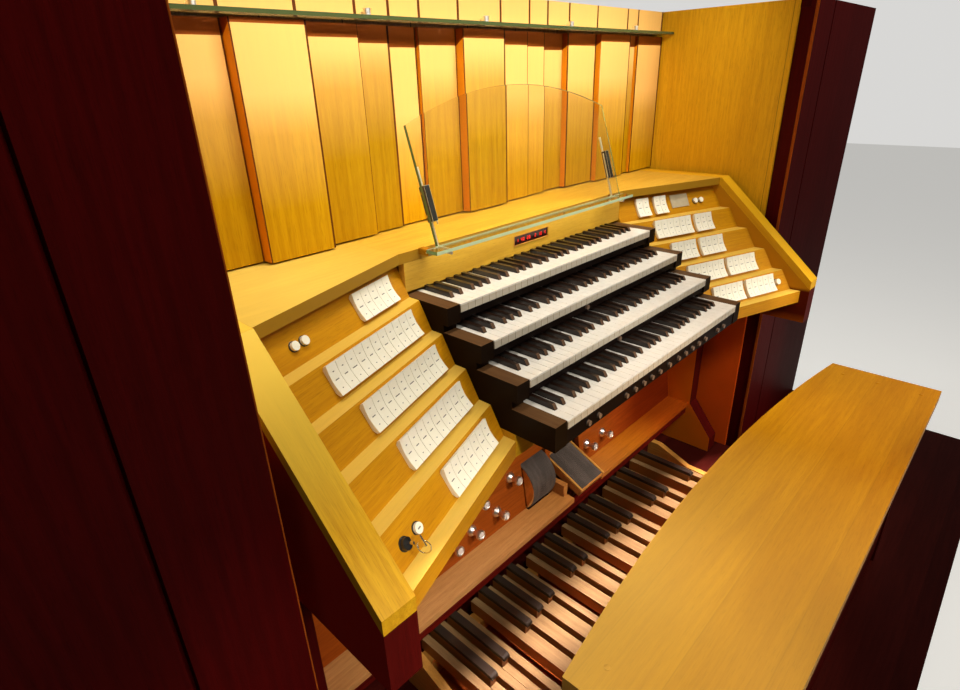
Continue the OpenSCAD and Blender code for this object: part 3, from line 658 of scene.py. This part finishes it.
def metal_and_glass_looks():
    return {
        "chrome": metal("chrome", (0.86, 0.85, 0.82), (0.66, 0.64, 0.60), 0.12),
        "studs": metal("stud_chrome", (0.92, 0.86, 0.80), (0.76, 0.68, 0.62), 0.30, extra=stud_heads),
        "pin": metal("pin_chrome", (0.92, 0.90, 0.84), (0.80, 0.76, 0.68), 0.36),
        "brass": metal("brass", (0.80, 0.58, 0.22), (0.55, 0.36, 0.12), 0.2),
        "rubber": rubber("drum_rubber", (0.110, 0.080, 0.064), (0.038, 0.027, 0.021)),
        "digit": lamp_glow("digit_red", (0.9, 0.02, 0.01), 0.9),
        "desk_glass": sheet_glass("desk_glass", DESK_FACE, DESK_TINT, DESK_EDGE, DESK_END, lets_light=0.92,
                                  ledge=DESK_LEDGE_TOP),
        "shelf_glass": sheet_glass("shelf_glass", UP, SHELF_TINT, SHELF_GREEN, SHELF_GREEN),
    }


NATURALS = ("naturals_one", "naturals_two", "naturals_three", "naturals_four")
SHARPS = ("sharps_one", "sharps_two", "sharps_three", "sharps_four")
MATERIAL = {**oak_looks(), **dark_wood_looks(), **plastic_looks(), **metal_and_glass_looks()}
LOOK_OF = {
    "platform_deck": "deck", "niche_floor": "deck", "case_fronts": "red", "case_ends": "red_ends",
    "case_back": "back", "niche_sides": "upright", "wall_boards": "boards", "glass_shelf": "shelf_glass",
    "shelf_brackets": "pin", "top_shelf": "top", "music_rail": "top", "digit_window": "window",
    "terrace_left": "terrace_left", "terrace_right": "terrace_right", "side_walls": "brown",
    "cheek_caps": "caps", "tabs_left": "tab", "tabs_right": "tab", "round_buttons": "tab",
    "stop_plaque": "grey", "lock_barrel": "black_metal", "lock_key": "chrome", "key_cheeks": "wenge",
    "key_beds": "black",
    "slip_pistons": "piston", "keybed_board": "apron", "knee_panel": "orange", "toe_shelf": "toe",
    "kick_board": "kick", "toe_studs": "studs", "pivot_blocks": "toe", "crescendo_drum": "rubber",
    "swell_shoe": "toe", "desk_pivots": "brass", "desk_rods": "pin", "desk_glass": "desk_glass",
    "pedal_frame": "frame", "pedal_naturals": "pedal", "pedal_sharps": "pedal", "pedal_caps": "cap",
    "bench_top": "bench", "bench_frame": "brown_x",
    **{node: node for node in NATURALS}, **{node: "sharp" for node in SHARPS},
}

# Widths of the soft edges, and the nodes whose edges round in three steps instead of two

SOFT_EDGES = {
    0.0015: ("terrace_left", "terrace_right", "top_shelf", "cheek_caps", "niche_sides", "wall_boards",
             "toe_shelf", "pedal_frame", "key_cheeks", "side_walls", "music_rail", "knee_panel",
             "case_fronts", "bench_frame"),
    0.0008: (*NATURALS, *SHARPS, "desk_rods", "desk_glass"),
    0.0020: ("pedal_naturals", "pedal_sharps", "swell_shoe"),
    0.0012: ("pedal_caps", "round_buttons", "slip_pistons"),
    0.0060: ("bench_top",),
    0.0006: ("tabs_left", "tabs_right"),
}
ROUNDER = ("bench_top", "round_buttons", "slip_pistons")


def soften(thing, width, segments, angle):
    """Rounds the edges that are sharper than an angle in degrees."""
    bevel = thing.modifiers.new("soft_edges", "BEVEL")
    bevel.width = width
    bevel.segments = segments
    bevel.limit_method = "ANGLE"
    bevel.angle_limit = math.radians(angle)


def dress_nodes():
    for node, look in LOOK_OF.items():
        materials = NODE[node].data.materials
        materials.clear()
        materials.append(MATERIAL[look])
    for width, nodes in SOFT_EDGES.items():
        for node in nodes:
            soften(NODE[node], width, 3 if node in ROUNDER else 2, 40)


# Detail pieces

class Shape:
    """Collects boxes, prisms and turned forms into one mesh piece."""

    def __init__(self):
        self.bm = bmesh.new()

    def corner(self, m, x, y, z):
        return self.bm.verts.new(m @ Vector((x, y, z)))

    def prism(self, profile, a, b, m):
        """A closed (y, z) profile drawn out along x from a to b."""
        rings = [[self.corner(m, x, y, z) for y, z in profile] for x in (a, b)]
        n = len(profile)
        for i in range(n):
            j = (i + 1) % n
            self.bm.faces.new((rings[0][i], rings[0][j], rings[1][j], rings[1][i]))
        self.bm.faces.new(rings[0])
        self.bm.faces.new(rings[1])

    def box(self, lo, hi, m=Matrix()):
        profile = [(lo[1], lo[2]), (hi[1], lo[2]), (hi[1], hi[2]), (lo[1], hi[2])]
        self.prism(profile, lo[0], hi[0], m)

    def lathe(self, profile, m, n=32):
        """A (radius, height) profile turned around the local z axis."""
        turns = [2 * math.pi * i / n for i in range(n)]
        rings = [[self.corner(m, r * math.cos(a), r * math.sin(a), z) for a in turns] for r, z in profile]
        for lower, upper in zip(rings, rings[1:]):
            for i in range(n):
                j = (i + 1) % n
                self.bm.faces.new((lower[i], lower[j], upper[j], upper[i]))
        self.bm.faces.new(rings[0])
        self.bm.faces.new(rings[-1])

    def hoop(self, radius, thick, m):
        """A round wire bent to a ring in the local x-y plane."""
        n, k = 28, 10
        rings = []
        for i in range(n):
            a = 2 * math.pi * i / n
            ring = []
            for j in range(k):
                b = 2 * math.pi * j / k
                r = radius + thick * math.cos(b)
                ring.append(self.corner(m, r * math.cos(a), r * math.sin(a), thick * math.sin(b)))
            rings.append(ring)
        for i in range(n):
            a, b = rings[i], rings[(i + 1) % n]
            for j in range(k):
                q = (j + 1) % k
                self.bm.faces.new((a[j], a[q], b[q], b[j]))

    def piece(self, name, look, slot, body=HOME, bevel=0.0, segments=2, smooth=False):
        """Makes the piece, and hands it to its body and gives it the look's material; the slot argument is
        not used.
        """
        bmesh.ops.recalc_face_normals(self.bm, faces=self.bm.faces)
        me = bpy.data.meshes.new(name)
        self.bm.to_mesh(me)
        self.bm.free()
        if smooth:
            me.shade_smooth()
            me.set_sharp_from_angle(angle=math.radians(35))
        me.materials.append(MATERIAL[look])
        o = bpy.data.objects.new(name, me)
        bpy.context.scene.collection.objects.link(o)
        if bevel:
            soften(o, bevel, segments, 35)
        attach(o, body)


def move(x, y, z):
    return Matrix.Translation((x, y, z))


def turn(axis, angle):
    return Matrix.Rotation(angle, 4, axis)


def mirror(side):
    """The right side as it is, or the left one as its mirror image."""
    return Matrix.Diagonal((side, 1, 1, 1))


OUTWARD = turn("X", math.pi / 2)


def face(row, share, up, left, along=0.0):
    """A place on the leaning face of a terrace row, at a share of its length and a distance further on."""
    steps = ROWS - row
    m = (move(ROW_X, ROW_FRONT + steps * ROW_STEP + TREAD, ROW_Z + steps * ROW_RISE)
         @ turn("Z", -TURN) @ turn("X", -FACE_LEAN) @ move(share * ROW_LONG + along, 0, up))
    return mirror(-1) @ m if left else m


def ring_profile(inner, outer, foot, edge, top):
    return [(inner, foot), (outer, foot), (outer, edge), (inner, top)]


# Tab groups: row, share of the row's length where the group starts, number of tabs

LEFT_GROUPS = ((1, 0.103, 5), (2, 0.101, 11), (3, 0.101, 10), (4, 0.101, 9), (5, 0.099, 7))
RIGHT_GROUPS = ((1, 0.166, 2), (1, 0.333, 2), (2, 0.177, 6), (2, 0.566, 3), (3, 0.168, 4), (3, 0.441, 4),
                (4, 0.151, 6), (4, 0.534, 5), (5, 0.215, 5), (5, 0.542, 5))
LAST_SHARE, LAST_COUNT = RIGHT_GROUPS[-1][1:]


def tab_front(height):
    """Front of a tab at a height, following the CAD's straight steps."""
    step = TAB_HIGH / TAB_STEPS
    i = min(int(height / step), TAB_STEPS - 1)
    low, high = (-TAB_THICK + TAB_HOLLOW * math.sin(math.pi * k / TAB_STEPS) for k in (i, i + 1))
    return low + (high - low) * (height - i * step) / step


def tab_marks(groups, left, name):
    """Plain generic marks: a dot, a bar and a short bar on every tab."""
    shape = Shape()
    rng = random.Random(7)
    mid = (TAB_PITCH - TAB_GAP) / 2
    half_high, sunk, proud = 0.0009, 0.0003, 0.0002
    for row, share, count in groups:
        for i in range(count):
            m = face(row, share, TAB_FOOT, left, i * TAB_PITCH)
            bar = 0.0045 + 0.003 * rng.random()
            for height, half in ((0.012, 0.0013), (0.030, bar), (0.046, 0.0022)):
                a, b = height - half_high, height + half_high
                profile = [(tab_front(a) + sunk, a), (tab_front(a) - proud, a),
                           (tab_front(b) - proud, b), (tab_front(b) + sunk, b)]
                shape.prism(profile, mid - half, mid + half, m)
    shape.piece(name, "ink", "window_dark")


def button_details():
    """Black rings round the buttons, and a short mark on the single one by the key."""
    ring, ink = Shape(), Shape()
    pair_up, single_up = 0.036, 0.032
    for left in (False, True):
        for share in (0.747, 0.805):
            m = face(1, share, pair_up, left) @ OUTWARD
            ring.lathe(ring_profile(0.0092, 0.0106, 0.0003, 0.0016, 0.0022), m)
    by_key = face(ROWS, 0.762, single_up, True) @ OUTWARD
    by_tabs = face(ROWS, LAST_SHARE, pair_up, False, LAST_COUNT * TAB_PITCH + 0.016) @ OUTWARD
    for m in (by_key, by_tabs):
        ring.lathe(ring_profile(0.0102, 0.0118, 0.0003, 0.0018, 0.0024), m)
    ink.box((-0.004, -0.0012, 0.0070), (0.004, 0.0012, 0.0075), by_key)
    ring.piece("button_rings", "black_metal", "window_dark", smooth=True)
    ink.piece("button_mark", "ink", "window_dark")


def lock_details():
    """A plate round the lock, and a ring that hangs in the key's bow."""
    plate, ring = Shape(), Shape()
    m = face(ROWS, 0.848, 0.032, True) @ OUTWARD
    bow_down, bow_out = -0.0115, 0.0375
    plate.lathe([(0.0112, 0.0003), (0.0130, 0.0003), (0.0130, 0.0016), (0.0122, 0.0024), (0.0112, 0.0024)],
                m, 40)
    ring.hoop(0.012, 0.0011, m @ move(0, bow_down, bow_out) @ turn("Y", math.pi / 2.3))
    plate.piece("lock_plate", "black_metal", "window_dark", smooth=True)
    ring.piece("key_ring", "chrome", "chrome", "lock_key", smooth=True)


def desk_clamps():
    """Black pads on the two rods, each with two screws and a slide."""
    pad, screw, slide = Shape(), Shape(), Shape()
    lean = move(*DESK) @ turn("X", -DESK_LEAN)
    half, half_high, screw_z = 0.0083, 0.0413, 0.026
    for side in (-1, 1):
        at = lean @ move(side * ROD_X, -0.008, 0.105)
        pad.box((-half, -half, -half_high), (half, half, half_high), at)
        for z in (-screw_z, screw_z):
            screw.lathe([(0.0042, 0), (0.0042, 0.0016), (0.0030, 0.0026), (0.0012, 0.0028)],
                        at @ move(side * half, 0, z) @ turn("Y", side * math.pi / 2), 20)
        slide.lathe([(0.0012, -0.0500), (0.0021, -0.0490), (0.0021, 0.0340), (0.0012, 0.0350)],
                    at @ move(-side * 0.0106, 0, 0), 16)
    slide.piece("clamp_slides", "pin", "chrome", "music_desk", smooth=True)
    pad.piece("clamp_pads", "black_metal", "window_dark", "music_desk", bevel=0.0016)
    screw.piece("clamp_screws", "chrome", "chrome", "music_desk", smooth=True)


def drum_details():
    """End discs with hubs, and fine ribs all round the crescendo drum."""
    disc, rib = Shape(), Shape()
    for side in (-1, 1):
        m = move(DRUM.x + side * DRUM_WIDE / 2, DRUM.y, DRUM.z) @ turn("Y", side * math.pi / 2)
        disc.lathe([(0.0085, 0.0002), (0.0930, 0.0002), (0.0936, 0.0012), (0.0900, 0.0020), (0.0300, 0.0020),
                    (0.0270, 0.0034), (0.0085, 0.0034)], m, 72)
    ribs, half_wide, half_long = 64, 0.0016, DRUM_WIDE / 2 - 0.002
    for i in range(ribs):
        m = move(*DRUM) @ turn("X", 2 * math.pi * i / ribs)
        rib.box((-half_long, -half_wide, DRUM_R - 0.0006), (half_long, half_wide, DRUM_R + 0.0008), m)
    disc.piece("drum_discs", "chrome", "chrome", "crescendo_drum", smooth=True)
    rib.piece("drum_ribs", "rubber", "drum_rubber", "crescendo_drum", bevel=0.0003, segments=1)


# Toe studs: place across, and height up the leaning knee panel

STUDS = ((-0.415, 0.068), (-0.328, 0.068), (-0.216, 0.068), (0.275, 0.068), (0.378, 0.068), (-0.290, 0.150),
         (-0.139, 0.150))


def stud_caps():
    """Broad silver rims with pale discs on the toe studs."""
    rim, disc = Shape(), Shape()
    for x, up in STUDS:
        m = move(x, TOE_BACK, TOE_Z) @ turn("X", -KNEE_LEAN) @ move(0, 0, up) @ OUTWARD
        rim.lathe([(0.0118, 0.0334), (0.0142, 0.0340), (0.0150, 0.0350), (0.0150, 0.0426), (0.0142, 0.0440),
                   (0.0112, 0.0442), (0.0106, 0.0436)], m, 40)
        disc.lathe([(0.0102, 0.0436), (0.0102, 0.0441), (0.0084, 0.0446)], m, 40)
    rim.piece("stud_rims", "pin", "chrome", smooth=True)
    disc.piece("stud_discs", "stud_face", "ivory_tabs", smooth=True)


def shoe_details():
    """A ribbed tread between two wooden strips on the swell shoe."""
    pad, strip = Shape(), Shape()
    m = move(SHOE_X - SHOE_WIDE / 2, SHOE_FOOT_Y, SHOE_FOOT_Z) @ turn("X", SHOE_TILT)
    edge, foot, ribs, inset = 0.010, 0.0002, 26, 0.008
    pad.box((edge, 0.006, foot), (SHOE_WIDE - edge, SHOE_LONG - 0.006, 0.0034), m)
    pitch = (SHOE_LONG - 2 * inset) / ribs
    for i in range(ribs):
        y = inset + i * pitch
        profile = [(y, 0.0030), (y + pitch * 0.62, 0.0030),
                   (y + pitch * 0.5, 0.0050), (y + pitch * 0.12, 0.0050)]
        pad.prism(profile, edge + 0.003, SHOE_WIDE - edge - 0.003, m)
    for x in (0.0004, SHOE_WIDE - edge + 0.0006):
        strip.box((x, 0.001, foot), (x + edge - 0.001, SHOE_LONG - 0.001, 0.0060), m)
    pad.piece("shoe_tread", "rubber", "drum_rubber", "swell_shoe")
    strip.piece("shoe_strips", "frame", "shoe_oak", "swell_shoe", bevel=0.0015)


SEGMENTS = {"0": "abcdef", "1": "bc", "2": "abged", "4": "fgbc", "8": "abcdefg"}


def digits():
    """Generic lit figures on the dark window."""
    shape = Shape()
    w, h, t, gap = 0.0050, 0.0090, 0.0010, 0.0002
    bars = {"a": (0, h - t, w, h), "b": (w - t, h / 2, w, h), "c": (w - t, 0, w, h / 2), "d": (0, 0, w, t),
            "e": (0, 0, t, h / 2), "f": (0, h / 2, t, h), "g": (0, (h - t) / 2, w, (h + t) / 2)}
    front, back, foot = 0.4408, 0.4416, 1.1450
    x = -0.062
    for mark in "1 40 28  2 10 4":
        for bar in SEGMENTS.get(mark, ""):
            x0, z0, x1, z1 = bars[bar]
            shape.box((x + x0 + gap, front, foot + z0 + gap), (x + x1 - gap, back, foot + z1 - gap))
        x += 0.0085 if mark != " " else 0.0090
    shape.piece("window_digits", "digit", "window_dark")


def window_lip():
    """A wooden lip round the number window."""
    shape = Shape()
    half, low, high, lip = 0.0770, 1.1350, 1.1640, 0.0018
    front, back = 0.4385, 0.4400
    for foot in (high - lip, low):
        shape.box((-half, front, foot), (half, back, foot + lip))
    for left in (-half, half - lip):
        shape.box((left, front, low + lip), (left + lip, back, high - lip))
    shape.piece("window_lip", "frame", "oak", bevel=0.0004)


# Pistons under the lowest manual, in millimetres across

PISTONS = (-345, -305, -190, -150, -110, -70, -30, 20, 70, 110, 150, 190, 230, 310, 350)


def piston_rings():
    """Thin rings round the pistons of the lowest slip and round the single ones above."""
    shape = Shape()
    places = [(x / 1000, 0.004, MANUAL_Z - 0.042) for x in PISTONS]
    places += [(-0.060, n * MANUAL_STEP + 0.008, MANUAL_Z + n * MANUAL_RISE - 0.031) for n in (1, 2)]
    for place in places:
        shape.lathe(ring_profile(0.0061, 0.0076, 0.0002, 0.0009, 0.0013), move(*place) @ OUTWARD, 24)
    shape.piece("piston_rings", "black_metal", "window_dark", smooth=True)


def case_edge_pieces():
    """Thin orange strips on the post edges as a painted highlight, lips on the niche sides, and strips behind
    the gaps of the case front.
    """
    edge_highlight, lip, strip = Shape(), Shape(), Shape()
    highlight_top, lip_top, strip_top = 1.7595, 1.7340, 1.7300
    for side in (-1, 1):
        m = mirror(side)
        # Painted highlight: a thin orange strip on each post edge
        edge_highlight.box((POST_IN - 0.0030, FRONT_Y + 0.0002, 0.0), (POST_IN - 0.0003, FRONT_Y + 0.010, highlight_top), m)
        lip.box((NICHE_HALF + 0.0008, NICHE_FRONT - 0.0022, PLATFORM + 0.001),
                (POST_IN - 0.0008, NICHE_FRONT - 0.0003, lip_top), m)
        strip.box((POST_OUT - 0.006, GAP_BACK, 0.0), (POST_OUT + 0.014, GAP_BACK + 0.004, strip_top), m)
    strip.piece("gap_strips", "gap_red", "case_mahogany")
    edge_highlight.piece("post_edge_highlights", "edge_highlight", "orange_oak", bevel=0.0010)
    lip.piece("niche_lips", "upright", "oak", bevel=0.0006)


def bench_plugs():
    """Dowel plugs over the bench's end boards."""
    shape = Shape()
    plug_x = 0.6785
    for side in (-1, 1):
        for y in (-0.475, -0.365, -0.270):
            shape.lathe([(0.0058, 0.0), (0.0058, 0.0006), (0.0048, 0.0011), (0.0010, 0.0013)],
                        move(side * plug_x, y, BENCH_TOP - 0.0001), 20)
    shape.piece("bench_plugs", "bench", "oak", smooth=True)


def platform_lines():
    """Two fine ribs 0.1 mm behind the platform's front face, which hides them."""
    shape = Shape()
    half = PLATFORM_HALF - 0.001
    for z in (0.0180, 0.0500):
        shape.box((-half, PLATFORM_FRONT + 0.0001, z), (half, PLATFORM_FRONT + 0.0008, z + 0.0012))
    shape.piece("platform_lines", "kick", "dark_wood")


def pedal_pins():
    """The pins that guide the pedals at the back rail, which rises towards its ends."""
    shape = Shape()
    reach, rail_y, rail_high, rise = 9, -0.335, 0.062, 0.040
    for k in range(-reach, reach + 1):
        x = k * PEDAL_PITCH
        z = PLATFORM + rail_high + rise * (x / (reach * PEDAL_PITCH)) ** 2
        shape.lathe([(0.0022, 0.0), (0.0022, 0.0060), (0.0012, 0.0072)], move(x, rail_y, z), 12)
    shape.piece("pedal_pins", "chrome", "chrome", smooth=True)


def make_details():
    tab_marks(LEFT_GROUPS, True, "marks_left")
    tab_marks(RIGHT_GROUPS, False, "marks_right")
    button_details()
    lock_details()
    desk_clamps()
    drum_details()
    stud_caps()
    shoe_details()
    digits()
    window_lip()
    piston_rings()
    case_edge_pieces()
    bench_plugs()
    platform_lines()
    pedal_pins()


# Floor, backdrop and light

FLOOR_PALE, FLOOR_HALF, FLOOR_GLOW = (0.80, 0.79, 0.76), 14, 0.55
ROOM_LIGHT, ROOM_STRENGTH = (1.0, 0.96, 0.90, 1), 0.09
BACKDROP, BACKDROP_STRENGTH = (0.86, 0.85, 0.83, 1), 0.8


def make_floor():
    """A pale floor that only the camera sees glowing."""
    n = Net("pale_floor")
    cloud = n.noise(n.coord, 3.0, 3.0)
    n.colour(n.mix(cloud, FLOOR_PALE, (0.76, 0.75, 0.72)))
    n.set(Roughness=0.7, Emission_Color=(*FLOOR_PALE, 1))
    n.drive("Emission Strength", n.times(n.add("ShaderNodeLightPath").outputs["Is Camera Ray"], FLOOR_GLOW))
    me = bpy.data.meshes.new("floor")
    s = FLOOR_HALF
    me.from_pydata([(-s, -s, 0), (s, -s, 0), (s, s, 0), (-s, s, 0)], [], [(0, 1, 2, 3)])
    me.materials.append(n.mat)
    o = bpy.data.objects.new("floor", me)
    bpy.context.scene.collection.objects.link(o)


def make_world():
    """Pale to the camera, dim as a light."""
    w = bpy.data.worlds.new("studio")
    bpy.context.scene.world = w
    w.use_nodes = True
    t = w.node_tree
    dim = t.nodes["Background"]
    pale = t.nodes.new("ShaderNodeBackground")
    for node, colour, strength in ((dim, ROOM_LIGHT, ROOM_STRENGTH), (pale, BACKDROP, BACKDROP_STRENGTH)):
        node.inputs[0].default_value = colour
        node.inputs[1].default_value = strength
    path = t.nodes.new("ShaderNodeLightPath")
    both = t.nodes.new("ShaderNodeMixShader")
    t.links.new(path.outputs["Is Camera Ray"], both.inputs[0])
    t.links.new(dim.outputs[0], both.inputs[1])
    t.links.new(pale.outputs[0], both.inputs[2])
    t.links.new(both.outputs[0], t.nodes["World Output"].inputs["Surface"])


def make_lamps():
    """Slim lamps over the niche and the case gaps, soft ones above and behind, and four spots."""
    area("niche_light", place=(0, 0.20, 1.935), aim=(0, 0.62, 1.30), size=(1.7, 0.05), power=7.5,
         colour=(1.0, 0.95, 0.86), spread=110)
    area("gap_light", place=(0, -0.42, 2.3), aim=(0, 0.07, 0.12), size=(1.7, 0.04), power=4.4,
         colour=(1.0, 0.88, 0.84), spread=7)
    area("gap_light_near", place=(0, -0.05, 2.3), aim=(0, -0.12, 0.12), size=(1.7, 0.04), power=0.4,
         colour=(1.0, 0.88, 0.84), spread=6)
    area("top_light", place=(-1.0, -1.3, 2.94), aim=(-0.4, -0.1, 0.9), size=(0.5, 0.5), power=15,
         colour=(1.0, 0.95, 0.85), mirrored=False)
    area("top_light_right", place=(1.2, -1.3, 2.94), aim=(0.6, -0.1, 0.9), size=(0.5, 0.5), power=24,
         colour=(1.0, 0.95, 0.85), mirrored=False)
    area("fill_light", place=(1.0, -2.6, 3.4), aim=(0.2, 0.1, 0.7), size=(2.0, 2.0), power=3,
         colour=(1.0, 0.95, 0.88))
    area("back_light", place=(0.6, 3.4, 2.8), aim=(0, 0.68, 0.8), size=(2.0, 2.0), power=45,
         colour=(1.0, 0.97, 0.92))
    spot("left_light", place=(-0.86, 0.10, 1.70), aim=(-0.90, 0.35, 1.17), cone=50, power=2.2,
         colour=(1.0, 0.93, 0.75))
    for x in (-0.8, 0.0, 0.8):
        spot("low_light", place=(x, -1.25, 1.75), aim=(x * 0.95, 0.16, 0.22), cone=42, power=95,
             colour=(1.0, 0.93, 0.82))


dress_nodes()
make_details()
make_camera()
make_floor()
make_world()
make_lamps()
bpy.context.scene.view_settings.view_transform = "Standard"
